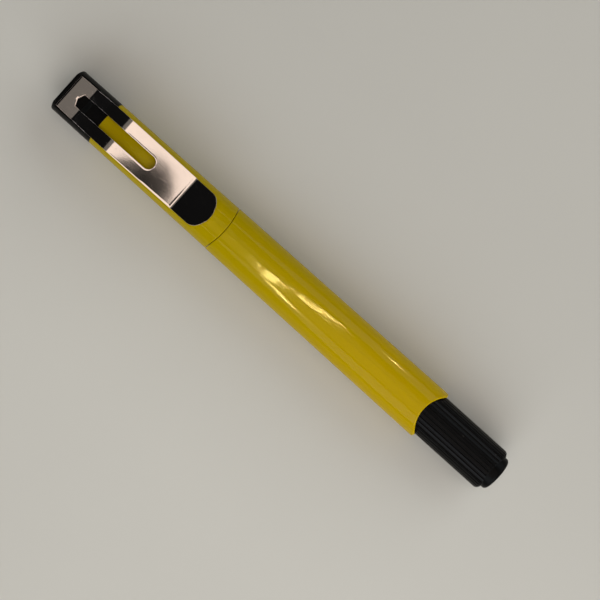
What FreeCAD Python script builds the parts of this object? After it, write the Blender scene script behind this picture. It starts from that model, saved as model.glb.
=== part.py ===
import FreeCAD, Part
import math
import os
from FreeCAD import Vector

# A counterfeit detector pen: a chemical marker with a pull-off cap, a sprung
# steel pocket clip, a fibre ink reservoir and a ribbed tail knob that screws
# out. Millimetres. The pen lies along X with the crown at -X, the clip up and
# its fattest ring on Z = 0.
#
# A "station" is a distance along the pen from the crown's end face, and a
# "height" is a distance above the pen's axis.

# --- Overall sizes ---------------------------------------------------------
cap_length = 50.57            # crown's end face to the middle of the seam
barrel_length = 65.23         # middle of the seam to the barrel's tail end
knob_exposed = 19.88          # ribbed knob, from the barrel's end to its own
stub_length = 1.52            # head of the end plug beyond the knob
crown_end_radius = 5.94
cap_mouth_radius = 6.22
barrel_front_radius = 6.28
barrel_tail_radius = 6.65

# --- Seam and tail cut-out -------------------------------------------------
seam_bulge = 1.25             # how far the cap's mouth reaches over the sides
seam_gap = 0.12               # shadow line between cap and barrel
scallop_depth = 2.75          # thumb cut-outs in the barrel's tail end
mouth_edge = 0.12             # rounding of the two edges that meet at the seam
tail_edge = 0.3               # and of the barrel's tail rim

# --- Walls -----------------------------------------------------------------
cap_wall = 0.9
barrel_wall = 1.0             # at the front, where the section is pressed in
barrel_step = 0.32            # how far the stop behind the section stands in
tail_wall = 0.89              # barrel lip round the knob
bush_seat_wall = 0.97         # barrel wall round the threaded bush
liner_wall = 0.6
section_wall = 0.9
bush_wall = 0.95
knob_wall = 0.95              # knob's threaded spigot
film_thickness = 0.12

# --- Clearances ------------------------------------------------------------
press_gap = 0.02              # pieces pressed together for good
running_gap = 0.08            # pieces that slide or turn on each other
loose_gap = 0.15              # pieces that only pass each other

# --- Crown -----------------------------------------------------------------
crown_length = 12.3
crown_edge = 0.45             # rounding of the end face
crown_spigot = 7.0            # length pressed into the cap tube
crown_spigot_wall = 2.1
crown_core_start = 8.3        # the hollow behind it stops short of the clip's seat
end_wall = 0.9                # wall that stops the clip's root plate
end_wall_top = 3.95           # its height
end_wall_edge = 0.4           # rounding of the wall's outer top edge
end_wall_lip = 0.2            # and of its inner one
seat_height = 3.25            # flat that the root plate lies on
key_nose = 0.7                # point at the end of the key in the slot
key_rise = 0.35               # key's top above the clip at its low end

# --- Pocket clip -----------------------------------------------------------
clip_thickness = 0.5
clip_root_width = 9.2
clip_shoulder_width = 9.6
clip_tip_width = 9.3
clip_fold = 6.4               # station where the arm leaves the flat root
clip_shoulder = 12.1          # station of the widest place
clip_crest = 17.0             # station of the arm's highest place
clip_pad = 37.8               # station where the arm comes down to the cap
clip_end = 46.25              # station of the tip
clip_tip_round = 3.3          # length of the rounded tip
clip_crest_gap = 1.45         # arm's underside above the cap at the crest
clip_pad_gap = 0.12           # and at the pad
clip_tip_gap = 1.9            # and at the flared tip
clip_bend_radius = 0.9        # inside radius of the folds
clip_crest_radius = 16.0
slot_width = 3.45
slot_start = 4.65
slot_end = 28.5
tongue_width = 2.0
tongue_length = 2.6           # how deep the tongue is pushed into the crown

# --- Cap liner -------------------------------------------------------------
liner_flange = 1.4            # thickness of the liner's end disc
liner_relief = 0.75           # tube's outside below the disc's
liner_grip = 7.4              # how far the liner reaches over the section's neck
nib_room = 2.5                # between the liner's floor and the nib

# --- Front section, nib and its sleeve -------------------------------------
section_neck = 8.0            # length of the neck that the liner seals on
section_shoulder = 0.9        # length of the slope up to the collar
section_spigot = 9.3          # length pressed into the barrel
section_chamber = 10.0        # length of the hollow behind the nib sleeve
nose_chamfer = 0.7
ring_inset = 2.3              # start of the collar to the middle of the seal ring
ring_width = 1.2
ring_depth = 0.45             # of its groove
nib_radius = 1.95
nib_reach = 6.2               # nib beyond the section's nose
nib_tip_radius = 0.7
nib_taper = 4.6
sleeve_wall = 0.7
sleeve_start = 4.6            # behind the section's nose
sleeve_flange = 1.2
sleeve_tail = 3.0             # sleeve behind its flange

# --- Reservoir -------------------------------------------------------------
reservoir_gap = 0.7           # behind the section
nib_bite = 3.2                # how deep the nib is pushed into the reservoir
pad_length = 2.4

# --- Tail ------------------------------------------------------------------
knob_seat = 3.6               # depth of the knob's shoulder in the barrel
bush_length = 7.3
gasket_thickness = 0.5
gasket_width = 0.85
knob_shoulder = 1.0           # rounding of the knob's end
knob_scallop_depth = 1.25     # thumb cut-outs in the knob's end
knob_scallop_half = 4.6       # half their width
rib_count = 32
rib_depth = 0.3
groove_radius = 0.27
stub_ledge = 0.87             # how far the end plug's head reaches over its shank
stub_seat = 2.5               # how deep the head is let into the knob's end
stub_edge = 0.85
plug_shank = 7.5

# --- Worked out from the sizes above ---------------------------------------
tail_end = cap_length + barrel_length
knob_end = tail_end + knob_exposed
overall_length = knob_end + stub_length
axis_height = max(barrel_tail_radius, barrel_front_radius, cap_mouth_radius, crown_end_radius)
far = 4 * axis_height         # longer than anything a cutter goes through


def place(station, height, across=0.0):
    """Point of the pen's frame at a station, a height over the axis and a Y."""
    return Vector(station - overall_length / 2, across, axis_height + height)


def between(station, start, start_value, end, end_value):
    """Straight-line value at a station, as the moulds' draft gives it."""
    return start_value + (end_value - start_value) * (station - start) / (end - start)


def arc_radius(half_chord, depth):
    """Radius of the arc that is so deep over a chord."""
    return (half_chord ** 2 + depth ** 2) / (2 * depth)


def cap_outside(station):
    return between(station, 0.0, crown_end_radius, cap_length, cap_mouth_radius)


def cap_bore(station):
    return cap_outside(station) - cap_wall


def barrel_outside(station):
    return between(station, cap_length, barrel_front_radius, tail_end, barrel_tail_radius)


def outline(corners, to_point):
    """Closed face through (u, v) corners; a third value rounds that corner."""
    ends = []
    count = len(corners)
    for index, corner in enumerate(corners):
        here = Vector(corner[0], corner[1], 0)
        radius = corner[2] if len(corner) > 2 else 0.0
        if not radius:
            ends.append((here, None, here))
            continue
        back = Vector(*corners[index - 1][:2], 0) - here
        ahead = Vector(*corners[(index + 1) % count][:2], 0) - here
        half_turn = back.getAngle(ahead) / 2
        back.normalize()
        ahead.normalize()
        middle = (back + ahead).normalize()
        reach = radius / math.tan(half_turn)
        top = here + middle * (radius / math.sin(half_turn) - radius)
        ends.append((here + back * reach, top, here + ahead * reach))
    edges = []
    for index, (arrive, top, leave) in enumerate(ends):
        if top is not None:
            arc = Part.Arc(*(to_point(p.x, p.y) for p in (arrive, top, leave)))
            edges.append(arc.toShape())
        following = ends[(index + 1) % count][0]
        if (following - leave).Length > 1e-6:
            edges.append(Part.LineSegment(to_point(leave.x, leave.y),
                                          to_point(following.x, following.y)).toShape())
    return Part.Face(Part.Wire(edges))


def turned(corners):
    """Solid of revolution about the pen's axis from (station, radius) corners."""
    return outline(corners, place).revolve(place(0, 0), Vector(1, 0, 0), 360)


def side_cut(corners, width):
    """Prism centred across the pen from (station, height) corners."""
    face = outline(corners, lambda s, h: place(s, h, -width / 2))
    return face.extrude(Vector(0, width, 0))


def plan_cut(corners, low=-far, high=far):
    """Prism from low to high height from (station, across) corners."""
    face = outline(corners, lambda s, w: place(s, low, w))
    return face.extrude(Vector(0, 0, high - low))


def upright_cylinder(station, radius):
    """Vertical cylinder right through the pen, centred on a station."""
    return Part.makeCylinder(radius, 2 * far, place(station, -far), Vector(0, 0, 1))


def round_rim(solid, radius, from_station, to_station, above_radius):
    """Fillet the outer edges of a tube's cut end, between two stations."""
    rim = []
    for edge in solid.Edges:
        middle = edge.valueAt((edge.FirstParameter + edge.LastParameter) / 2)
        off_axis = math.hypot(middle.y, middle.z - axis_height)
        station = middle.x + overall_length / 2
        if from_station < station < to_station and off_axis > above_radius:
            rim.append(edge)
    return solid.makeFillet(radius, rim)


def save(shape, name):
    solid = shape.removeSplitter() if shape.ShapeType != "Solid" else shape
    solid.exportStep("parts/" + name + ".step")


# --- Seam between cap and barrel -------------------------------------------
# The cap's mouth is part of an upright cylinder, so the closed cap can't turn.
seam_radius = arc_radius(cap_mouth_radius, seam_bulge)
seam_centre = cap_length - seam_radius


def beyond_seam():
    block = Part.makeBox(far, 2 * far, 2 * far, place(seam_centre, -far, -far))
    return block.cut(upright_cylinder(seam_centre, seam_radius))


# --- Pocket clip: sheet strip, its underside given by heights -----------------
crest_under = cap_outside(clip_crest) + clip_crest_gap
pad_under = cap_outside(clip_pad) + clip_pad_gap
tip_under = cap_outside(clip_end) + clip_tip_gap
clip_start = end_wall + loose_gap
clip_top = seat_height + clip_thickness


def clip_line(lift):
    """Side-view line of the clip's underside, raised by lift, crown to tip."""
    tight = clip_bend_radius + lift
    wide = clip_bend_radius + clip_thickness - lift
    ramp_end = clip_shoulder
    ramp_under = cap_outside(ramp_end) + loose_gap + clip_thickness
    return [(clip_start, seat_height + lift),
            (clip_fold, seat_height + lift, wide),
            (ramp_end, ramp_under + lift, tight + clip_crest_radius / 4),
            (clip_crest, crest_under + lift, clip_crest_radius + lift),
            (clip_pad, pad_under + lift, wide + clip_crest_radius / 4),
            (clip_end, tip_under + lift)]


def clip_sheet():
    """The bent strip before it is cut to its outline."""
    under = clip_line(0.0)
    over = clip_line(clip_thickness)
    return side_cut(under + over[::-1], far)


def clip_outline():
    """Top view of the clip: straight root, faint shoulders, elliptical tip."""
    root, wide, tip = (w / 2 for w in (clip_root_width, clip_shoulder_width, clip_tip_width))
    straight_end = clip_end - clip_tip_round
    arc_points = 9
    tip_curve = []
    for step in range(1, 2 * arc_points):
        angle = math.pi * step / (2 * arc_points)
        tip_curve.append(place(straight_end + clip_tip_round * math.sin(angle), -far,
                               tip * math.cos(angle)))
    first = place(straight_end, -far, tip)
    last = place(straight_end, -far, -tip)
    curve = Part.BSplineCurve()
    curve.interpolate([first] + tip_curve + [last])
    corners = [last, place(clip_shoulder, -far, -wide), place(clip_start, -far, -root),
               place(clip_start, -far, root), place(clip_shoulder, -far, wide), first]
    edges = [Part.LineSegment(a, b).toShape() for a, b in zip(corners, corners[1:])]
    edges.append(curve.toShape())
    return Part.Face(Part.Wire(edges)).extrude(Vector(0, 0, 2 * far))


def slot_plan(margin):
    """Top view of the clip's slot, drawn in by a margin, with its pointed start."""
    half = slot_width / 2 - margin
    start = slot_start + margin
    return [(start - key_nose, 0.0), (start, -half), (slot_end, -half), (slot_end, half),
            (start, half)]


def clip_slot():
    straight = slot_end - slot_width / 2
    half = slot_width / 2
    plan = [(slot_start - key_nose, 0.0), (slot_start, -half), (straight, -half),
            (straight, half), (slot_start, half)]
    return plan_cut(plan).fuse(upright_cylinder(straight, half))


def tongue(margin=0.0):
    """Tab at the slot's start, bent down into the crown; a margin makes it fatter."""
    end = slot_start - key_nose
    start = end - clip_thickness - margin
    half = tongue_width / 2 + margin
    tab = [(start, -half), (end + margin, -half), (end + margin, half), (start, half)]
    return plan_cut(tab, seat_height - tongue_length - margin, seat_height + clip_thickness / 2)


def whole_clip():
    return clip_sheet().common(clip_outline()).cut(clip_slot())


def clip_root():
    keep = Part.makeBox(clip_fold, 2 * far, 2 * far, place(0, -far, -far))
    return whole_clip().common(keep).fuse(tongue())


def clip_arm():
    keep = Part.makeBox(clip_end, 2 * far, 2 * far, place(clip_fold, -far, -far))
    return whole_clip().common(keep)


# --- Cap -------------------------------------------------------------------
spigot_radius = cap_bore(crown_length) - press_gap
crown_core_radius = spigot_radius - crown_spigot_wall
liner_start = crown_length + crown_spigot + press_gap
liner_floor = liner_start + liner_flange
nib_front = liner_floor + nib_room
section_nose = nib_front + nib_reach


def cap_crown():
    """Moulded plug that closes the cap and seats the clip."""
    end = crown_length + crown_spigot
    blank = turned([(0, 0), (0, crown_end_radius, crown_edge),
                    (crown_length, cap_outside(crown_length)), (crown_length, spigot_radius),
                    (end, spigot_radius), (end, crown_core_radius),
                    (crown_core_start, crown_core_radius), (crown_core_start, 0)])
    ramp_top = cap_outside(clip_shoulder) + clip_thickness
    side = [(0, -far), (0, end_wall_top, end_wall_edge), (end_wall, end_wall_top, end_wall_lip),
            (end_wall, seat_height), (clip_fold + loose_gap, seat_height),
            (clip_shoulder, ramp_top), (clip_shoulder, far), (end, far), (end, -far)]
    key_low = clip_top + key_rise
    key_side = [(end_wall, 0), (end_wall, key_low), (clip_fold, key_low),
                (clip_shoulder, ramp_top + key_low), (clip_shoulder, 0)]
    key = plan_cut(slot_plan(loose_gap)).common(side_cut(key_side, far))
    crown = blank.common(side_cut(side, far).fuse(key))
    return crown.cut(tongue(press_gap))


def cap_tube():
    """Yellow tube of the cap, open at both ends, with the curved mouth."""
    end = cap_length + seam_bulge
    tube = turned([(crown_length, cap_bore(crown_length)), (crown_length, cap_outside(crown_length)),
                   (end, cap_outside(end)), (end, cap_bore(end))])
    tube = tube.cut(beyond_seam())
    return round_rim(tube, mouth_edge, cap_length - 2 * seam_bulge, end,
                     cap_mouth_radius - cap_wall / 2)


liner_disc_radius = cap_bore(liner_start) - press_gap
liner_outside = liner_disc_radius - liner_relief
liner_inside = liner_outside - liner_wall


def inner_cap():
    """White liner that seals round the nib when the cap is on."""
    mouth = section_nose + liner_grip
    return turned([(liner_start, 0), (liner_start, liner_disc_radius),
                   (liner_floor, liner_disc_radius), (liner_floor, liner_outside, 0.4),
                   (mouth, liner_outside, 0.15), (mouth, liner_inside, 0.15),
                   (liner_floor, liner_inside, 0.3), (liner_floor, 0)])


# --- Front section ---------------------------------------------------------
neck_radius = liner_inside - running_gap
neck_end = section_nose + section_neck
collar_start = neck_end + section_shoulder
ring_station = collar_start + ring_inset
spigot_start = cap_length + seam_gap + section_shoulder
spigot_end = spigot_start + section_spigot
front_bore = barrel_front_radius - barrel_wall
section_spigot_radius = front_bore - press_gap
collar_radius = min(cap_bore(collar_start), section_spigot_radius) - loose_gap
nib_bore = nib_radius + press_gap
sleeve_radius = nib_bore + sleeve_wall
chamber_start = spigot_end - section_chamber
chamber_radius = section_spigot_radius - section_wall
ring_outside = cap_bore(ring_station - ring_width / 2) - running_gap / 2
ring_floor = collar_radius - ring_depth


def front_section():
    """Black holder of the nib; the cap slides over its collar."""
    ring_start = ring_station - ring_width / 2
    ring_end = ring_station + ring_width / 2
    sleeve_seat = section_nose + sleeve_start
    return turned([(section_nose, nib_bore), (section_nose, neck_radius - nose_chamfer),
                   (section_nose + nose_chamfer, neck_radius), (neck_end, neck_radius, 0.3),
                   (collar_start, collar_radius, 0.4), (ring_start, collar_radius),
                   (ring_start, ring_floor), (ring_end, ring_floor),
                   (ring_end, collar_radius), (spigot_start, collar_radius),
                   (spigot_start, section_spigot_radius), (spigot_end, section_spigot_radius),
                   (spigot_end, chamber_radius), (chamber_start, chamber_radius),
                   (chamber_start, sleeve_radius + press_gap),
                   (sleeve_seat, sleeve_radius + press_gap), (sleeve_seat, nib_bore)])


def cap_seal_ring():
    """Rubber ring in the collar's groove that grips the cap."""
    start = ring_station - ring_width / 2 + press_gap
    end = ring_station + ring_width / 2 - press_gap
    floor = ring_floor + press_gap
    return turned([(start, floor), (start, ring_outside, 0.2), (end, ring_outside, 0.2),
                   (end, floor)])


def nib_sleeve():
    """Flanged tube that carries the nib from the section to the reservoir."""
    start = section_nose + sleeve_start + press_gap
    flange_start = chamber_start + press_gap
    flange_end = flange_start + sleeve_flange
    end = flange_end + sleeve_tail
    return turned([(start, nib_bore), (start, sleeve_radius), (flange_start, sleeve_radius),
                   (flange_start, chamber_radius - press_gap),
                   (flange_end, chamber_radius - press_gap), (flange_end, sleeve_radius),
                   (end, sleeve_radius), (end, nib_bore)])


nib_back = spigot_end + reservoir_gap + nib_bite


def nib():
    """Fibre nib, worn round at the tip and pointed where it enters the reservoir."""
    tail_point = nib_bite / 2
    return turned([(nib_front, 0), (nib_front, nib_tip_radius, nib_tip_radius * 0.7),
                   (nib_front + nib_taper, nib_radius, 2.0),
                   (nib_back - tail_point, nib_radius), (nib_back, nib_radius / 2),
                   (nib_back, 0)])


# --- Reservoir: it fills the barrel between the section and the bush ---------
knob_start = tail_end - knob_seat
bush_end = knob_start - gasket_thickness - 2 * press_gap
bush_start = bush_end - bush_length
pad_start = bush_start - pad_length - press_gap
reservoir_end = pad_start - press_gap
stop_station = spigot_end + press_gap
inner_bore = front_bore - barrel_step
film_outside = inner_bore - loose_gap
reservoir_radius = film_outside - film_thickness
reservoir_start = spigot_end + reservoir_gap


def ink_reservoir():
    """Bundle of fibre that holds the test ink; the nib is pushed into its front."""
    tail_point = nib_bite / 2
    start = reservoir_start
    return turned([(start, nib_bore), (start, reservoir_radius - press_gap),
                   (reservoir_end, reservoir_radius - press_gap), (reservoir_end, 0),
                   (nib_back + press_gap, 0), (nib_back + press_gap, nib_radius / 2 + press_gap),
                   (nib_back - tail_point, nib_bore)])


def reservoir_film():
    """Clear wrap rolled round the fibre bundle."""
    return turned([(reservoir_start, reservoir_radius), (reservoir_start, film_outside),
                   (reservoir_end, film_outside), (reservoir_end, reservoir_radius)])


def pressure_pad():
    """Felt disc that keeps the reservoir pressed on to the nib."""
    end = pad_start + pad_length
    radius = film_outside - loose_gap
    return turned([(pad_start, 0), (pad_start, radius, 0.3), (end, radius, 0.3), (end, 0)])


# --- Barrel and tail -------------------------------------------------------
bush_radius = barrel_outside(bush_start) - bush_seat_wall - press_gap
thread_radius = bush_radius - bush_wall
knob_spigot_radius = thread_radius - running_gap
knob_bore = knob_spigot_radius - knob_wall
stub_radius = knob_bore + stub_ledge
stub_start = knob_end - stub_seat
lip_bore = barrel_tail_radius - tail_wall
knob_radius = lip_bore - running_gap
scallop_half_width = knob_radius + running_gap / 2
scallop_radius = arc_radius(scallop_half_width, scallop_depth)
knob_scallop_radius = arc_radius(knob_scallop_half, knob_scallop_depth)
lip_start = knob_start - running_gap


def barrel_tube():
    """Yellow tube: curved front, stop for the section, bush seat, scalloped tail."""
    front = cap_length - seam_bulge
    bush_bore = bush_radius + press_gap
    tube = turned([(front, front_bore), (front, barrel_outside(front)),
                   (tail_end, barrel_tail_radius), (tail_end, lip_bore),
                   (lip_start, lip_bore), (lip_start, bush_bore), (bush_start, bush_bore),
                   (bush_start, inner_bore), (stop_station, inner_bore),
                   (stop_station, front_bore)])
    scallop_centre = tail_end - scallop_depth + scallop_radius
    tube = tube.cut(upright_cylinder(seam_centre, seam_radius + seam_gap))
    tube = tube.cut(upright_cylinder(scallop_centre, scallop_radius))
    tube = round_rim(tube, mouth_edge, front, cap_length + 2 * seam_bulge,
                     barrel_front_radius - barrel_wall / 2)
    return round_rim(tube, tail_edge, tail_end - 2 * scallop_depth, tail_end + tail_edge,
                     barrel_tail_radius - tail_wall / 2)


def tail_bush():
    """Threaded bush pressed into the barrel for the knob."""
    start = bush_start + press_gap
    return turned([(start, thread_radius), (start, bush_radius), (bush_end, bush_radius),
                   (bush_end, thread_radius)])


def tail_gasket():
    """Rubber washer between the knob's shoulder and the bush."""
    start = bush_end + press_gap
    end = start + gasket_thickness
    inside = knob_spigot_radius + running_gap
    return turned([(start, inside), (start, inside + gasket_width),
                   (end, inside + gasket_width), (end, inside)])


def tail_knob():
    """Ribbed knob with a hollow threaded spigot."""
    start = bush_start + press_gap
    head_bore = stub_radius + press_gap
    blank = turned([(start, knob_bore), (start, knob_spigot_radius, 0.2),
                    (knob_start, knob_spigot_radius), (knob_start, knob_radius),
                    (knob_end, knob_radius, knob_shoulder), (knob_end, head_bore),
                    (stub_start, head_bore), (stub_start, knob_bore)])
    scallop_centre = knob_end - knob_scallop_depth + knob_scallop_radius
    blank = blank.cut(upright_cylinder(scallop_centre, knob_scallop_radius))
    groove_place = knob_radius - rib_depth + groove_radius
    grooves = []
    for index in range(rib_count):
        angle = 2 * math.pi * (index + 0.5) / rib_count
        base = place(knob_start - rib_depth, groove_place * math.cos(angle),
                     groove_place * math.sin(angle))
        grooves.append(Part.makeCylinder(groove_radius, knob_end - knob_start + 1, base,
                                         Vector(1, 0, 0)))
    return blank.cut(Part.makeCompound(grooves))


def tail_end_plug():
    """Headed plug pressed into the end of the knob."""
    head = stub_start + press_gap
    shank = knob_bore - press_gap
    return turned([(head - plug_shank, 0), (head - plug_shank, shank, 0.4), (head, shank),
                   (head, stub_radius), (overall_length, stub_radius, stub_edge),
                   (overall_length, 0)])


os.makedirs("parts", exist_ok=True)
pieces = {
    "cap_crown": cap_crown, "cap_tube": cap_tube, "inner_cap": inner_cap,
    "clip_root": clip_root, "clip_arm": clip_arm,
    "barrel_tube": barrel_tube, "front_section": front_section,
    "cap_seal_ring": cap_seal_ring, "nib_sleeve": nib_sleeve, "nib": nib,
    "ink_reservoir": ink_reservoir, "reservoir_film": reservoir_film,
    "pressure_pad": pressure_pad, "tail_bush": tail_bush, "tail_gasket": tail_gasket,
    "tail_knob": tail_knob, "tail_end_plug": tail_end_plug,
}
for name, make in pieces.items():
    save(make(), name)
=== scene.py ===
import bmesh
import bpy
import math
from mathutils import Matrix, Vector


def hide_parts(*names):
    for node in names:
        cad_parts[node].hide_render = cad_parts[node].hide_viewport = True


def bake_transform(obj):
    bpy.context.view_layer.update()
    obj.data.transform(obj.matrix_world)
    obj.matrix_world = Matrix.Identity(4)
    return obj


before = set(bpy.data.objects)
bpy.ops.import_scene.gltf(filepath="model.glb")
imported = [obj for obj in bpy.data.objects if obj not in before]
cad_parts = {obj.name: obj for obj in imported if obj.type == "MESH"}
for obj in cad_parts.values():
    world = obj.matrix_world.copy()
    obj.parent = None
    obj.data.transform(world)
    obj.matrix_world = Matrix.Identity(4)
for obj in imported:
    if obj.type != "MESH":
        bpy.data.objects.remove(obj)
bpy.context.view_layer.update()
scene = bpy.context.scene

# A counterfeit detector pen, lying with its crown at -X, its clip up and its
# fattest ring on the table. Sizes are in metres; a "station" is a distance
# along the pen from the crown's end face.

# --- Camera ----------------------------------------------------------------
# Looks straight down on the lying pen from a little over 0.35 m, turned so
# that the pen runs from the upper left to the lower right.
pen_slant = math.atan2(0.6685, 0.74371)
camera = bpy.data.objects.new("camera", bpy.data.cameras.new("camera"))
camera.location = (0.00593, -0.00032, 0.3619)
camera.rotation_euler = (0, 0, pen_slant)
camera.data.lens = 89.64
camera.data.clip_start = 0.01
scene.collection.objects.link(camera)
scene.camera = camera

# --- Light -----------------------------------------------------------------
# A big soft panel overhead, soft fills at both sides and at the crown's end, and
# a dim room all round. Thin tube lamps draw the streaks of shine on the yellow
# tubes and light nothing else.
world = bpy.data.worlds.new("room")
scene.world = world
world.use_nodes = True
world.node_tree.nodes["Background"].inputs["Color"].default_value = (0.93, 0.95, 1.0, 1)
world.node_tree.nodes["Background"].inputs["Strength"].default_value = 0.006
scene.view_settings.view_transform = "Standard"


def soft_panel(name, place, aim, length, width, watts, colour):
    """Rectangular area light that faces a point."""
    panel = bpy.data.lights.new(name, "AREA")
    panel.shape = "RECTANGLE"
    panel.size = length
    panel.size_y = width
    panel.energy = watts
    panel.color = colour
    holder = bpy.data.objects.new(name, panel)
    holder.location = place
    holder.rotation_euler = (Vector(aim) - Vector(place)).to_track_quat("-Z", "Y").to_euler()
    scene.collection.objects.link(holder)


soft_panel("crown_end_fill", (-1.30, 0.0, 0.09), (0, 0, 0), 1.5, 0.16, 3.6, (0.95, 0.97, 1.0))
soft_panel("dim_panel", (-0.232, 0.0, 0.80), (-0.232, 0, 0), 0.085, 0.90, 0.042, (1.0, 0.94, 0.86))
soft_panel("overhead_panel", (0.24, -0.12, 0.80), (0.24, -0.12, 0), 0.84, 0.90, 2.9,
           (1.0, 0.86, 0.76))
soft_panel("near_side_fill", (0.75, -1.05, 0.80), (0, 0, 0), 2.0, 1.1, 19.0, (0.92, 0.96, 1.0))
soft_panel("far_side_fill", (0.75, 1.15, 0.80), (0, 0, 0), 2.0, 1.1, 13.5, (0.92, 0.97, 1.0))

shiny_tubes = bpy.data.collections.new("shiny_tubes")
for tube in ("cap_tube", "barrel_tube"):
    shiny_tubes.objects.link(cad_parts[tube])


def tube_lamp(name, start, end, thickness, watts):
    """Long thin lamp between two points, that draws a tapering streak of shine."""
    start, end = Vector(start), Vector(end)
    lamp = bpy.data.lights.new(name, "AREA")
    lamp.shape = "ELLIPSE"
    lamp.size = (end - start).length
    lamp.size_y = thickness
    lamp.energy = watts
    lamp.color = (1.0, 0.77, 0.24)
    holder = bpy.data.objects.new(name, lamp)
    holder.location = (start + end) / 2
    along = (end - start).normalized()
    up = holder.location.normalized()
    across = up.cross(along).normalized()
    facing = along.cross(across)
    holder.matrix_world = Matrix.Translation(holder.location) @ Matrix(
        (along, across, facing)).transposed().to_4x4()
    scene.collection.objects.link(holder)
    holder.visible_diffuse = False
    holder.light_linking.receiver_collection = shiny_tubes


tube_lamp("long_tube", (-0.051, -0.66, 1.0), (0.044, 0.70, 1.0), 0.015, 14.0)
tube_lamp("short_tube", (-0.043, -0.74, 1.0), (-0.014, -1.22, 0.95), 0.024, 8.0)
tube_lamp("far_tube", (0.093, 0.92, 0.40), (0.104, 0.92, 0.40), 0.010, 0.7)

# A small dark card beside the camera holds the light off part of the clip.
card_mesh = bpy.data.meshes.new("dark_card")
shape = bmesh.new()
bmesh.ops.create_circle(shape, cap_ends=True, segments=32, radius=1)
bmesh.ops.scale(shape, verts=shape.verts, vec=(0.0175, 0.028, 1))
bmesh.ops.rotate(shape, verts=shape.verts, matrix=Matrix.Rotation(math.radians(-22), 3, "Z"))
bmesh.ops.translate(shape, verts=shape.verts, vec=(-0.0478, -0.0222, 0.36))
shape.to_mesh(card_mesh)
shape.free()
dark_card = bpy.data.objects.new("dark_card", card_mesh)
matt_black = bpy.data.materials.new("matt_black_card")
matt_black.use_nodes = True
matt_black.node_tree.nodes["Principled BSDF"].inputs["Base Color"].default_value = (
    0.02, 0.019, 0.018, 1)
matt_black.node_tree.nodes["Principled BSDF"].inputs["Roughness"].default_value = 0.9
card_mesh.materials.append(matt_black)
scene.collection.objects.link(dark_card)
dark_card.visible_camera = False
dark_card.visible_shadow = False


# --- Floor -----------------------------------------------------------------
# A plain pale table top, painted board with the faintest unevenness. It is graded
# across Y, again to stand in for light that falls off.
def node_material(name):
    """New material, its node tree and its Principled shader."""
    material = bpy.data.materials.new(name)
    material.use_nodes = True
    return material, material.node_tree, material.node_tree.nodes["Principled BSDF"]


def mixed(tree, low, high, factor):
    """Mix node between two colours, driven by a socket."""
    mix = tree.nodes.new("ShaderNodeMix")
    mix.data_type = "RGBA"
    mix.inputs["A"].default_value = (*low, 1)
    mix.inputs["B"].default_value = (*high, 1)
    tree.links.new(factor, mix.inputs["Factor"])
    return mix.outputs["Result"]


def put_math(tree, operation, first, second):
    """Math node of two sockets or numbers."""
    node = tree.nodes.new("ShaderNodeMath")
    node.operation = operation
    for index, value in enumerate((first, second)):
        if isinstance(value, (int, float)):
            node.inputs[index].default_value = value
        else:
            tree.links.new(value, node.inputs[index])
    return node.outputs["Value"]


def spanned(tree, source, from_low, from_high, to_low, to_high):
    """Map Range node that turns one span of values into another."""
    span = tree.nodes.new("ShaderNodeMapRange")
    for socket, value in zip(("From Min", "From Max", "To Min", "To Max"),
                             (from_low, from_high, to_low, to_high)):
        span.inputs[socket].default_value = value
    tree.links.new(source, span.inputs["Value"])
    return span.outputs["Result"]


def object_noise(tree, stretch, size, detail=3.0, roughness=0.5):
    """Noise on object coordinates; size is the grain in metres, stretch per axis."""
    place = tree.nodes.new("ShaderNodeTexCoord")
    turn = tree.nodes.new("ShaderNodeMapping")
    turn.inputs["Scale"].default_value = [s / size for s in stretch]
    noise = tree.nodes.new("ShaderNodeTexNoise")
    noise.inputs["Scale"].default_value = 1.0
    noise.inputs["Detail"].default_value = detail
    noise.inputs["Roughness"].default_value = roughness
    tree.links.new(place.outputs["Object"], turn.inputs["Vector"])
    tree.links.new(turn.outputs["Vector"], noise.inputs["Vector"])
    return noise.outputs["Fac"]


def bumped(tree, height, strength, depth, under=None):
    """Bump node; depth is in metres. A normal may come in from below."""
    bump = tree.nodes.new("ShaderNodeBump")
    bump.inputs["Strength"].default_value = strength
    bump.inputs["Distance"].default_value = depth
    tree.links.new(height, bump.inputs["Height"])
    if under is not None:
        tree.links.new(under, bump.inputs["Normal"])
    return bump.outputs["Normal"]


table_top, tree, shader = node_material("pale_table_top")
patches = object_noise(tree, (1, 1, 1), 0.09, 4.0)
across = tree.nodes.new("ShaderNodeSeparateXYZ")
tree.links.new(tree.nodes.new("ShaderNodeTexCoord").outputs["Object"], across.inputs["Vector"])
near_side = spanned(tree, across.outputs["Y"], 0.05, -0.05, 0, 0.8)
patchy = put_math(tree, "ADD", near_side, spanned(tree, patches, 0.3, 0.7, 0, 0.2))
tree.links.new(mixed(tree, (0.575, 0.565, 0.515), (0.655, 0.645, 0.588), patchy),
               shader.inputs["Base Color"])
shader.inputs["Roughness"].default_value = 0.75
shader.inputs["Specular IOR Level"].default_value = 0.2
floor_mesh = bpy.data.meshes.new("floor")
shape = bmesh.new()
bmesh.ops.create_grid(shape, x_segments=2, y_segments=2, size=1.6)
shape.to_mesh(floor_mesh)
shape.free()
floor = bpy.data.objects.new("floor", floor_mesh)
floor_mesh.materials.append(table_top)
scene.collection.objects.link(floor)


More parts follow.
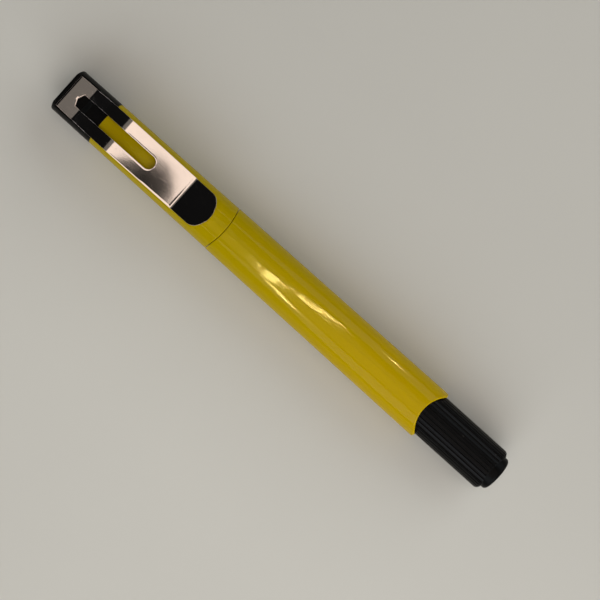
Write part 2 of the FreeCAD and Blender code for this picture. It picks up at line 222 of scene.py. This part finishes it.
# --- Crown: black moulded plug that closes the cap and seats the clip --------
# Satin polypropylene, spark-eroded to a fine grain. It is pressed into the
# yellow tube, and its pointed key stands in the clip's slot. The effects for
# rubbed edges, scratches and dust start here and serve every finish below.
def effect_group(name, inputs, outputs):
    """New node group with the sockets given, and its input and output nodes."""
    group = bpy.data.node_groups.new(name, "ShaderNodeTree")
    for label, kind, value in inputs:
        socket = group.interface.new_socket(name=label, in_out="INPUT", socket_type=kind)
        if value is not None:
            socket.default_value = value
    for label, kind in outputs:
        group.interface.new_socket(name=label, in_out="OUTPUT", socket_type=kind)
    return group, group.nodes.new("NodeGroupInput"), group.nodes.new("NodeGroupOutput")


def edge_wear_group():
    """Mask of the rubbed edges, and the normal of an edge rounded by a radius."""
    group, taken, given = effect_group(
        "edge_wear",
        [("Radius", "NodeSocketFloat", 0.0001), ("Amount", "NodeSocketFloat", 1.0),
         ("Breakup", "NodeSocketFloat", 0.5)],
        [("Mask", "NodeSocketFloat"), ("Normal", "NodeSocketVector")])
    edge = group.nodes.new("ShaderNodeBevel")
    edge.samples = 6
    true_normal = group.nodes.new("ShaderNodeNewGeometry")
    compare = group.nodes.new("ShaderNodeVectorMath")
    compare.operation = "DOT_PRODUCT"
    group.links.new(taken.outputs["Radius"], edge.inputs["Radius"])
    group.links.new(edge.outputs["Normal"], compare.inputs[0])
    group.links.new(true_normal.outputs["Normal"], compare.inputs[1])
    turned_away = spanned(group, compare.outputs["Value"], 0.99, 0.85, 0.0, 1.0)
    rubbing = object_noise(group, (1, 1, 1), 0.0011, 4.0, 0.65)
    broken = spanned(group, rubbing, 0.35, 0.65, 0.0, 1.0)
    kept = put_math(group, "SUBTRACT", 1.0, taken.outputs["Breakup"])
    patchy = put_math(group, "ADD", kept, put_math(group, "MULTIPLY", broken,
                                                   taken.outputs["Breakup"]))
    mask = put_math(group, "MULTIPLY", put_math(group, "MULTIPLY", turned_away, patchy),
                    taken.outputs["Amount"])
    group.links.new(mask, given.inputs["Mask"])
    group.links.new(edge.outputs["Normal"], given.inputs["Normal"])
    return group


def scratch_group():
    """Mask of fine hairline scratches that mostly run along the pen."""
    group, taken, given = effect_group(
        "hairline_scratches",
        [("Length", "NodeSocketFloat", 0.006), ("Thickness", "NodeSocketFloat", 0.00006),
         ("Amount", "NodeSocketFloat", 0.5)],
        [("Mask", "NodeSocketFloat")])
    place = group.nodes.new("ShaderNodeTexCoord")
    parts = []
    for turn_degrees, shift in ((4.0, 0.0), (-9.0, 0.37), (31.0, 0.71)):
        turn = group.nodes.new("ShaderNodeVectorRotate")
        turn.rotation_type = "Z_AXIS"
        turn.inputs["Angle"].default_value = math.radians(turn_degrees)
        group.links.new(place.outputs["Object"], turn.inputs["Vector"])
        split = group.nodes.new("ShaderNodeSeparateXYZ")
        group.links.new(turn.outputs["Vector"], split.inputs["Vector"])
        along = put_math(group, "ADD", put_math(group, "DIVIDE", split.outputs["X"],
                                                taken.outputs["Length"]), shift)
        across = put_math(group, "DIVIDE", split.outputs["Y"], taken.outputs["Thickness"])
        across = put_math(group, "MULTIPLY", across, 0.25)
        up = put_math(group, "DIVIDE", split.outputs["Z"], taken.outputs["Length"])
        joined = group.nodes.new("ShaderNodeCombineXYZ")
        group.links.new(along, joined.inputs["X"])
        group.links.new(across, joined.inputs["Y"])
        group.links.new(up, joined.inputs["Z"])
        lines = group.nodes.new("ShaderNodeTexNoise")
        lines.inputs["Scale"].default_value = 1.0
        lines.inputs["Detail"].default_value = 1.0
        group.links.new(joined.outputs["Vector"], lines.inputs["Vector"])
        parts.append(spanned(group, lines.outputs["Fac"], 0.70, 0.78, 0.0, 1.0))
    whole = put_math(group, "MAXIMUM", put_math(group, "MAXIMUM", parts[0], parts[1]), parts[2])
    group.links.new(put_math(group, "MULTIPLY", whole, taken.outputs["Amount"]),
                    given.inputs["Mask"])
    return group


def dust_group():
    """Mask of sparse dust specks, a few tenths of a millimetre across at most."""
    group, taken, given = effect_group(
        "dust_specks",
        [("Spacing", "NodeSocketFloat", 0.0022), ("Size", "NodeSocketFloat", 0.06)],
        [("Mask", "NodeSocketFloat")])
    place = group.nodes.new("ShaderNodeTexCoord")
    grown = group.nodes.new("ShaderNodeVectorMath")
    grown.operation = "SCALE"
    group.links.new(place.outputs["Object"], grown.inputs[0])
    group.links.new(put_math(group, "DIVIDE", 1.0, taken.outputs["Spacing"]),
                    grown.inputs["Scale"])
    cells = group.nodes.new("ShaderNodeTexVoronoi")
    cells.inputs["Scale"].default_value = 1.0
    group.links.new(grown.outputs["Vector"], cells.inputs["Vector"])
    split = group.nodes.new("ShaderNodeSeparateColor")
    group.links.new(cells.outputs["Color"], split.inputs["Color"])
    small = put_math(group, "LESS_THAN", cells.outputs["Distance"],
                     put_math(group, "MULTIPLY", split.outputs["Green"], taken.outputs["Size"]))
    chosen = put_math(group, "GREATER_THAN", split.outputs["Red"], 0.55)
    group.links.new(put_math(group, "MULTIPLY", small, chosen), given.inputs["Mask"])
    return group


edge_wear = edge_wear_group()
hairlines = scratch_group()
dust_specks = dust_group()


def use_group(tree, group, **values):
    """Adds a shared effect to a material, with its own values."""
    node = tree.nodes.new("ShaderNodeGroup")
    node.node_tree = group
    for label, value in values.items():
        node.inputs[label].default_value = value
    return node


def worn_colour(tree, colour, mask, worn):
    """Base colour socket with the worn colour laid over it by a mask."""
    mix = tree.nodes.new("ShaderNodeMix")
    mix.data_type = "RGBA"
    mix.inputs["B"].default_value = (*worn, 1)
    tree.links.new(mask, mix.inputs["Factor"])
    tree.links.new(colour, mix.inputs["A"])
    return mix.outputs["Result"]


def finish_node(node, material):
    """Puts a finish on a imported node's object."""
    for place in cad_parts[node].material_slots:
        place.material = material


def black_moulding(name, base, worn, roughness, grain, shine=0.06):
    material, tree, shader = node_material(name)
    wear = use_group(tree, edge_wear, Radius=0.00014, Amount=0.85, Breakup=0.6)
    lines = use_group(tree, hairlines, Length=0.004, Thickness=0.00005, Amount=0.5)
    dust = use_group(tree, dust_specks, Spacing=0.0017, Size=0.09)
    cloud = object_noise(tree, (1, 1, 1), 0.004, 4.0, 0.6)
    colour = mixed(tree, base, [c * 1.7 + 0.001 for c in base],
                   spanned(tree, cloud, 0.3, 0.7, 0, 1))
    colour = worn_colour(tree, colour, put_math(tree, "MULTIPLY", wear.outputs["Mask"], 0.5), worn)
    colour = worn_colour(tree, colour, put_math(tree, "MULTIPLY", dust.outputs["Mask"], 0.35),
                         (0.22, 0.21, 0.19))
    tree.links.new(colour, shader.inputs["Base Color"])
    rub = spanned(tree, cloud, 0.3, 0.7, roughness - 0.05, roughness + 0.07)
    rub = put_math(tree, "ADD", rub, put_math(tree, "MULTIPLY", lines.outputs["Mask"], 0.15))
    tree.links.new(rub, shader.inputs["Roughness"])
    texture = object_noise(tree, (1, 1, 1), grain, 2.0, 0.7)
    normal = bumped(tree, texture, 0.35, 0.00003, wear.outputs["Normal"])
    tree.links.new(bumped(tree, lines.outputs["Mask"], -0.3, 0.00002, normal),
                   shader.inputs["Normal"])
    shader.inputs["IOR"].default_value = 1.49
    shader.inputs["Specular IOR Level"].default_value = shine
    return material


black_satin = black_moulding("black_satin_moulding", (0.0006, 0.0006, 0.0006),
                             (0.034, 0.034, 0.032), 0.34, 0.00016)
finish_node("cap_crown", black_satin)


# --- Cap tube and barrel: glossy yellow tubes --------------------------------
# Extruded polypropylene with a bright surface: faint flow lines along the pen,
# a slow waviness and hairlines. Its colour is graded along X, darker and greener
# at the cap, to stand in for light that falls off along the pen.
def yellow_tube(name):
    material, tree, shader = node_material(name)
    wear = use_group(tree, edge_wear, Radius=0.00012, Amount=0.7, Breakup=0.5)
    lines = use_group(tree, hairlines, Length=0.007, Thickness=0.00005, Amount=0.55)
    dust = use_group(tree, dust_specks, Spacing=0.0026, Size=0.05)
    flow = object_noise(tree, (0.12, 1, 1), 0.0022, 3.0, 0.55)
    cloud = object_noise(tree, (0.5, 1, 1), 0.012, 3.0, 0.5)
    along = tree.nodes.new("ShaderNodeSeparateXYZ")
    tree.links.new(tree.nodes.new("ShaderNodeTexCoord").outputs["Object"], along.inputs["Vector"])
    colour = mixed(tree, (0.390, 0.288, 0.0005), (0.488, 0.326, 0.0005),
                   spanned(tree, along.outputs["X"], -0.02, 0.03, 0, 1))
    colour = worn_colour(tree, colour, spanned(tree, flow, 0.35, 0.65, 0, 0.3),
                         (0.50, 0.35, 0.0008))
    # Lighter yellow on every edge: partly rubbed wear, partly a painted highlight that stands in
    # for the glints along the tube mouths and the seam.
    colour = worn_colour(tree, colour, put_math(tree, "MULTIPLY", wear.outputs["Mask"], 0.45),
                         (0.62, 0.50, 0.06))
    colour = worn_colour(tree, colour, put_math(tree, "MULTIPLY", dust.outputs["Mask"], 0.5),
                         (0.10, 0.08, 0.03))
    tree.links.new(colour, shader.inputs["Base Color"])
    rub = spanned(tree, cloud, 0.3, 0.7, 0.045, 0.075)
    rub = put_math(tree, "ADD", rub, put_math(tree, "MULTIPLY", lines.outputs["Mask"], 0.12))
    tree.links.new(rub, shader.inputs["Roughness"])
    wave = object_noise(tree, (0.35, 1, 1), 0.006, 1.0, 0.4)
    normal = bumped(tree, wave, 0.08, 0.00012, wear.outputs["Normal"])
    normal = bumped(tree, flow, 0.07, 0.00003, normal)
    tree.links.new(bumped(tree, lines.outputs["Mask"], -0.2, 0.00001, normal),
                   shader.inputs["Normal"])
    shader.inputs["IOR"].default_value = 1.49
    shader.inputs["Specular IOR Level"].default_value = 0.065
    shader.inputs["Subsurface Weight"].default_value = 0.04
    shader.inputs["Subsurface Radius"].default_value = (1.0, 0.7, 0.05)
    shader.inputs["Subsurface Scale"].default_value = 0.0006
    return material


yellow_gloss = yellow_tube("yellow_gloss_tube")
finish_node("cap_tube", yellow_gloss)
finish_node("barrel_tube", yellow_gloss)


# --- Pocket clip: one strip of bright nickel-plated spring steel -------------
# Blanked with a long slot, folded at the crown, arched over the cap, and
# flared at its rounded tip.
half_length = 0.0686
seat_height = 0.00325
axis_height = 0.00665
clip_thickness = 0.0005
clip_start = 0.00105
clip_end = 0.04625
root_half, shoulder_half, tip_half = 0.0046, 0.0048, 0.00465
fold_station, shoulder_station, crest_station, pad_station = 0.0064, 0.0121, 0.0170, 0.0378
shoulder_lift, crest_lift, pad_lift, tip_lift = 0.00065, 0.00145, 0.00012, 0.0019
tip_round = 0.0033
rim_round = 0.00016
slot_half = 0.001725
slot_point, slot_square, slot_end = 0.00395, 0.00465, 0.0285


def cap_outside(station):
    """Radius of the cap tube's outside."""
    return 0.00594 + 0.00028 * station / 0.05057


# Station, height over the axis and bend radius of each corner of the strip.
clip_corners = [
    (clip_start, seat_height, 0),
    (fold_station, seat_height, 0.0014),
    (shoulder_station, cap_outside(shoulder_station) + shoulder_lift, 0.0049),
    (crest_station, cap_outside(crest_station) + crest_lift, 0.0160),
    (pad_station, cap_outside(pad_station) + pad_lift, 0.0054),
    (clip_end, cap_outside(clip_end) + tip_lift, 0)]


def underside(station):
    """Height of the clip's underside over the axis, its folds rounded by arcs."""
    for before, corner, after in zip(clip_corners, clip_corners[1:], clip_corners[2:]):
        rise_in = math.atan2(corner[1] - before[1], corner[0] - before[0])
        rise_out = math.atan2(after[1] - corner[1], after[0] - corner[0])
        bend = rise_out - rise_in
        reach = corner[2] * math.tan(abs(bend) / 2)
        side = math.copysign(1, bend)
        arc_from = corner[0] - reach * math.cos(rise_in)
        arc_to = corner[0] + reach * math.cos(rise_out)
        if arc_from < station < arc_to:
            middle = arc_from - side * corner[2] * math.sin(rise_in)
            base = corner[1] - reach * math.sin(rise_in) + side * corner[2] * math.cos(rise_in)
            return base - side * math.sqrt(corner[2] ** 2 - (station - middle) ** 2)
    for before, corner in zip(clip_corners, clip_corners[1:]):
        if station <= corner[0]:
            share = (station - before[0]) / (corner[0] - before[0])
            return before[1] + share * (corner[1] - before[1])
    return clip_corners[-1][1]


def outer_half(station):
    """Half width of the strip, with its shoulders and its rounded tip."""
    straight_end = clip_end - tip_round
    if station < shoulder_station:
        share = (station - clip_start) / (shoulder_station - clip_start)
        return root_half + share * (shoulder_half - root_half)
    share = min((station - shoulder_station) / (straight_end - shoulder_station), 1)
    width = shoulder_half + share * (tip_half - shoulder_half)
    past = max(station - straight_end, 0) / tip_round
    return width * math.sqrt(max(1 - past ** 2, 0))


def inner_half(station):
    """Half width of the slot: a point, a straight run and a round end."""
    if station <= slot_point or station >= slot_end:
        return 0.0
    if station < slot_square:
        return slot_half * (station - slot_point) / (slot_square - slot_point)
    past = max(station - (slot_end - slot_half), 0) / slot_half
    return slot_half * math.sqrt(max(1 - past ** 2, 0))


fine_from, fine_to = 0.0085, 0.0245
clip_stations = [clip_start + (slot_point - clip_start) * i / 6 for i in range(6)]
clip_stations += [slot_point + (slot_square - slot_point) * i / 3 for i in range(3)]
clip_stations += [slot_square + (fine_from - slot_square) * i / 22 for i in range(22)]
clip_stations += [fine_from + (fine_to - fine_from) * i / 64 for i in range(64)]
clip_stations += [fine_to + (slot_end - slot_half - fine_to) * i / 8 for i in range(8)]
clip_stations += [slot_end - slot_half + slot_half * math.sin(math.pi / 2 * i / 14)
                  for i in range(14)]
clip_stations += [slot_end + (clip_end - tip_round - slot_end) * i / 50 for i in range(50)]
clip_stations += [clip_end - tip_round + tip_round * math.sin(math.pi / 2 * i / 22)
                  for i in range(22)]
clip_stations += [clip_end - 0.000004]
clip_columns = 8

shape = bmesh.new()
row = [shape.verts.new((0, column, 0)) for column in range(clip_columns + 1)]
edges = [shape.edges.new(pair) for pair in zip(row, row[1:])]
for index, station in enumerate(clip_stations):
    if index:
        pulled = bmesh.ops.extrude_edge_only(shape, edges=edges)
        edges = [e for e in pulled["geom"] if isinstance(e, bmesh.types.BMEdge)]
        fresh = [v for v in pulled["geom"] if isinstance(v, bmesh.types.BMVert)]
        row = sorted(fresh, key=lambda v: v.co.y)
        edges = [e for e in edges if e.verts[0] in fresh and e.verts[1] in fresh]
    low, high = inner_half(station), outer_half(station)
    for column, corner in enumerate(row):
        across = low + (high - low) * column / clip_columns
        corner.co = (station, across, underside(station))
bmesh.ops.mirror(shape, geom=shape.verts[:] + shape.edges[:] + shape.faces[:], axis="Y",
                 merge_dist=0.00001)
bmesh.ops.remove_doubles(shape, verts=shape.verts, dist=0.000002)
bmesh.ops.recalc_face_normals(shape, faces=shape.faces)
if sum(f.normal.z for f in shape.faces) < 0:
    bmesh.ops.reverse_faces(shape, faces=shape.faces)
thick = bmesh.ops.extrude_face_region(shape, geom=shape.faces[:])
lifted = [v for v in thick["geom"] if isinstance(v, bmesh.types.BMVert)]
shape.normal_update()
for corner in lifted:
    slope = (underside(corner.co.x + 0.00001) - underside(corner.co.x - 0.00001)) / 0.00002
    normal = Vector((-slope, 0, 1)).normalized()
    if clip_start + 0.0001 < corner.co.x < clip_end - 0.0002:
        corner.co += normal * clip_thickness
    else:
        corner.co.z += clip_thickness
bmesh.ops.recalc_face_normals(shape, faces=shape.faces)
shape.normal_update()
rim = [e for e in shape.edges if len(e.link_faces) == 2
       and e.link_faces[0].normal.angle(e.link_faces[1].normal, 0) > math.radians(50)]
bmesh.ops.bevel(shape, geom=rim, offset=rim_round, segments=3, profile=0.5, affect="EDGES",
                material=-1, clamp_overlap=True)
bmesh.ops.translate(shape, verts=shape.verts, vec=(-half_length, 0, axis_height))

# The tab at the slot's point is bent down into the crown.
tongue_station, tongue_width, tongue_depth, tongue_middle = 0.0037, 0.0020, 0.0028, 0.0020
tab = bmesh.ops.create_cube(shape, size=1)["verts"]
bmesh.ops.scale(shape, verts=tab, vec=(clip_thickness, tongue_width, tongue_depth))
bmesh.ops.translate(shape, verts=tab,
                    vec=(tongue_station - half_length, 0, axis_height + tongue_middle))
for face in shape.faces:
    face.smooth = True
clip_mesh = bpy.data.meshes.new("pocket_clip")
shape.to_mesh(clip_mesh)
shape.free()
pocket_clip = bpy.data.objects.new("pocket_clip", clip_mesh)
scene.collection.objects.link(pocket_clip)


def bright_steel(name):
    material, tree, shader = node_material(name)
    lines = use_group(tree, hairlines, Length=0.006, Thickness=0.00004, Amount=0.8)
    wear = use_group(tree, edge_wear, Radius=0.00024, Amount=1.0, Breakup=0.3)
    rolling = object_noise(tree, (0.03, 1, 1), 0.00018, 2.0, 0.6)
    cloud = object_noise(tree, (0.7, 1, 1), 0.005, 3.0, 0.5)
    colour = mixed(tree, (0.74, 0.67, 0.625), (0.79, 0.72, 0.67),
                   spanned(tree, cloud, 0.3, 0.7, 0, 1))
    colour = worn_colour(tree, colour, put_math(tree, "MULTIPLY", lines.outputs["Mask"], 0.3),
                         (0.86, 0.82, 0.79))
    tree.links.new(colour, shader.inputs["Base Color"])
    shader.inputs["Metallic"].default_value = 1.0
    rub = spanned(tree, cloud, 0.3, 0.7, 0.045, 0.07)
    rub = put_math(tree, "ADD", rub, put_math(tree, "MULTIPLY", lines.outputs["Mask"], 0.12))
    rub = put_math(tree, "ADD", rub, put_math(tree, "MULTIPLY", wear.outputs["Mask"], 0.35))
    tree.links.new(rub, shader.inputs["Roughness"])
    wave = object_noise(tree, (0.6, 1, 1), 0.006, 1.0, 0.4)
    normal = bumped(tree, wave, 0.25, 0.00005)
    normal = bumped(tree, rolling, 0.08, 0.000006, normal)
    tree.links.new(bumped(tree, lines.outputs["Mask"], -0.15, 0.000006, normal),
                   shader.inputs["Normal"])
    return material


clip_steel = bright_steel("bright_nickel_steel")
clip_mesh.materials.append(clip_steel)
even_shading = pocket_clip.modifiers.new("even_shading", "WEIGHTED_NORMAL")
even_shading.keep_sharp = True
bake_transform(pocket_clip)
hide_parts("clip_root", "clip_arm")
finish_node("clip_root", clip_steel)
finish_node("clip_arm", clip_steel)


# --- Cap liner and nib sleeve: natural polyethylene ---------------------------
# Waxy, slightly see-through mouldings. The liner seals round the nib when the
# cap is on; the sleeve carries the nib.
def waxy_moulding(name):
    material, tree, shader = node_material(name)
    cloud = object_noise(tree, (1, 1, 1), 0.003, 4.0, 0.6)
    tree.links.new(mixed(tree, (0.66, 0.66, 0.62), (0.74, 0.74, 0.71),
                         spanned(tree, cloud, 0.3, 0.7, 0, 1)), shader.inputs["Base Color"])
    tree.links.new(spanned(tree, cloud, 0.3, 0.7, 0.38, 0.5), shader.inputs["Roughness"])
    wear = use_group(tree, edge_wear, Radius=0.00012, Amount=0.5, Breakup=0.5)
    grain = object_noise(tree, (1, 1, 1), 0.0003, 2.0, 0.6)
    tree.links.new(bumped(tree, grain, 0.2, 0.00002, wear.outputs["Normal"]),
                   shader.inputs["Normal"])
    shader.inputs["Subsurface Weight"].default_value = 0.3
    shader.inputs["Subsurface Scale"].default_value = 0.0012
    return material


waxy_white = waxy_moulding("waxy_natural_polyethylene")
finish_node("inner_cap", waxy_white)
finish_node("nib_sleeve", waxy_white)

# --- Front section: black moulded holder of the nib ---------------------------
# Made with the same recipe as the crown's satin moulding, a shade lighter and a little smoother
# all over.
black_section = black_moulding("black_section_moulding", (0.0045, 0.0044, 0.0046),
                               (0.05, 0.049, 0.048), 0.28, 0.0002)
finish_node("front_section", black_section)


# --- Nib: bonded fibre, stained by the test ink --------------------------------
# Ground round at the tip; the amber ink has soaked through to its surface.
def inked_fibre(name, pale, dark, fibre):
    material, tree, shader = node_material(name)
    strands = object_noise(tree, (0.05, 1, 1), fibre, 3.0, 0.6)
    soak = object_noise(tree, (1, 1, 1), 0.003, 3.0, 0.6)
    colour = mixed(tree, pale, dark, spanned(tree, strands, 0.3, 0.7, 0, 1))
    colour = worn_colour(tree, colour, spanned(tree, soak, 0.45, 0.75, 0, 0.6),
                         [c * 0.6 for c in dark])
    tree.links.new(colour, shader.inputs["Base Color"])
    tree.links.new(spanned(tree, strands, 0.3, 0.7, 0.65, 0.9), shader.inputs["Roughness"])
    tree.links.new(bumped(tree, strands, 0.6, 0.00008), shader.inputs["Normal"])
    shader.inputs["Sheen Weight"].default_value = 0.15
    return material


finish_node("nib", inked_fibre("inked_nib_fibre", (0.50, 0.30, 0.08), (0.32, 0.16, 0.03), 0.00012))
finish_node("ink_reservoir", inked_fibre("soaked_reservoir_fibre", (0.55, 0.36, 0.12),
                                         (0.38, 0.21, 0.05), 0.0002))


# --- Reservoir film, pressure pad, seal ring and tail washer ------------------
# Clear wrap, felt disc and two soft black rubber seals, all inside the pen.
film, tree, shader = node_material("clear_wrap_film")
wrinkles = object_noise(tree, (0.4, 1, 1), 0.002, 2.0, 0.5)
tree.links.new(mixed(tree, (0.80, 0.80, 0.80), (0.88, 0.88, 0.88),
                     spanned(tree, wrinkles, 0.3, 0.7, 0, 1)), shader.inputs["Base Color"])
tree.links.new(spanned(tree, wrinkles, 0.3, 0.7, 0.08, 0.2), shader.inputs["Roughness"])
tree.links.new(bumped(tree, wrinkles, 0.3, 0.00005), shader.inputs["Normal"])
shader.inputs["Alpha"].default_value = 0.35
finish_node("reservoir_film", film)

felt, tree, shader = node_material("pressed_white_felt")
hairs = object_noise(tree, (1, 1, 1), 0.0002, 5.0, 0.7)
tree.links.new(mixed(tree, (0.66, 0.63, 0.56), (0.8, 0.78, 0.72),
                     spanned(tree, hairs, 0.3, 0.7, 0, 1)), shader.inputs["Base Color"])
tree.links.new(spanned(tree, hairs, 0.3, 0.7, 0.8, 0.95), shader.inputs["Roughness"])
tree.links.new(bumped(tree, hairs, 0.8, 0.0001), shader.inputs["Normal"])
finish_node("pressure_pad", felt)

rubber, tree, shader = node_material("soft_black_rubber")
bloom = object_noise(tree, (1, 1, 1), 0.0012, 4.0, 0.6)
tree.links.new(mixed(tree, (0.014, 0.014, 0.014), (0.03, 0.03, 0.029),
                     spanned(tree, bloom, 0.3, 0.7, 0, 1)), shader.inputs["Base Color"])
tree.links.new(spanned(tree, bloom, 0.3, 0.7, 0.5, 0.7), shader.inputs["Roughness"])
grain = object_noise(tree, (1, 1, 1), 0.00015, 2.0, 0.6)
tree.links.new(bumped(tree, grain, 0.3, 0.00002), shader.inputs["Normal"])
finish_node("cap_seal_ring", rubber)
finish_node("tail_gasket", rubber)

# --- Tail: threaded bush, ribbed knob and end plug -----------------------------
# Black mouldings. The knob screws into the bush, and the headed plug closes it.
black_knob = black_moulding("black_ribbed_moulding", (0.0005, 0.0005, 0.0006),
                            (0.034, 0.034, 0.032), 0.20, 0.0003, 0.08)
finish_node("tail_bush", black_section)
finish_node("tail_knob", black_knob)
finish_node("tail_end_plug", black_satin)
